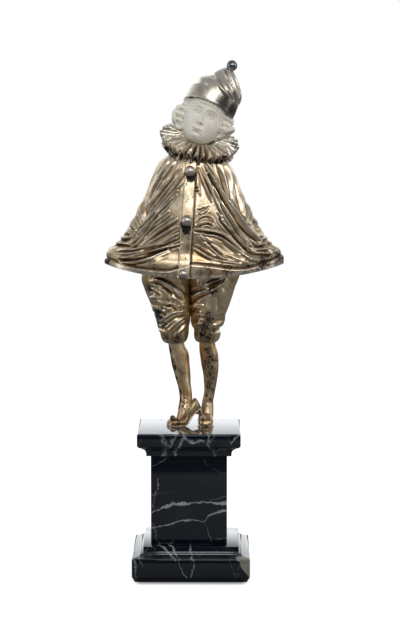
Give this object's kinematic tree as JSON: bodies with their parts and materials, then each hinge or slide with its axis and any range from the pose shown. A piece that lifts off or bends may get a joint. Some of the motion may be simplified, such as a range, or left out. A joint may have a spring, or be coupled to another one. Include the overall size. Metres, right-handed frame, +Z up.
{
  "type": "commedia dell arte figure",
  "caption": "Standing clown statuette in a wide folded jacket, ruff and pointed cap: gilt bronze with an ivory head on a stepped black marble plinth.",
  "frame": {"origin": "middle of the plinth's underside, at the height it stands on", "axes": "+Z up, the figure faces -Y, +X to the viewer's right"},
  "size_m": [0.1175, 0.076, 0.3345],
  "materials": {
    "black_marble": "polished",
    "gilt_bronze": "satin",
    "ivory": "satin",
    "silvered_bronze": "satin"
  },
  "bodies": {
    "root": {"plinth_base": "black_marble", "plinth_shaft": "black_marble", "plinth_cap": "black_marble", "bronze_figure": "gilt_bronze", "pointed_cap": "gilt_bronze", "ivory_head": "ivory", "cap_ball": "silvered_bronze", "button_top": "silvered_bronze", "button_middle": "silvered_bronze", "button_bottom": "silvered_bronze"}
  },
  "joints": []
}
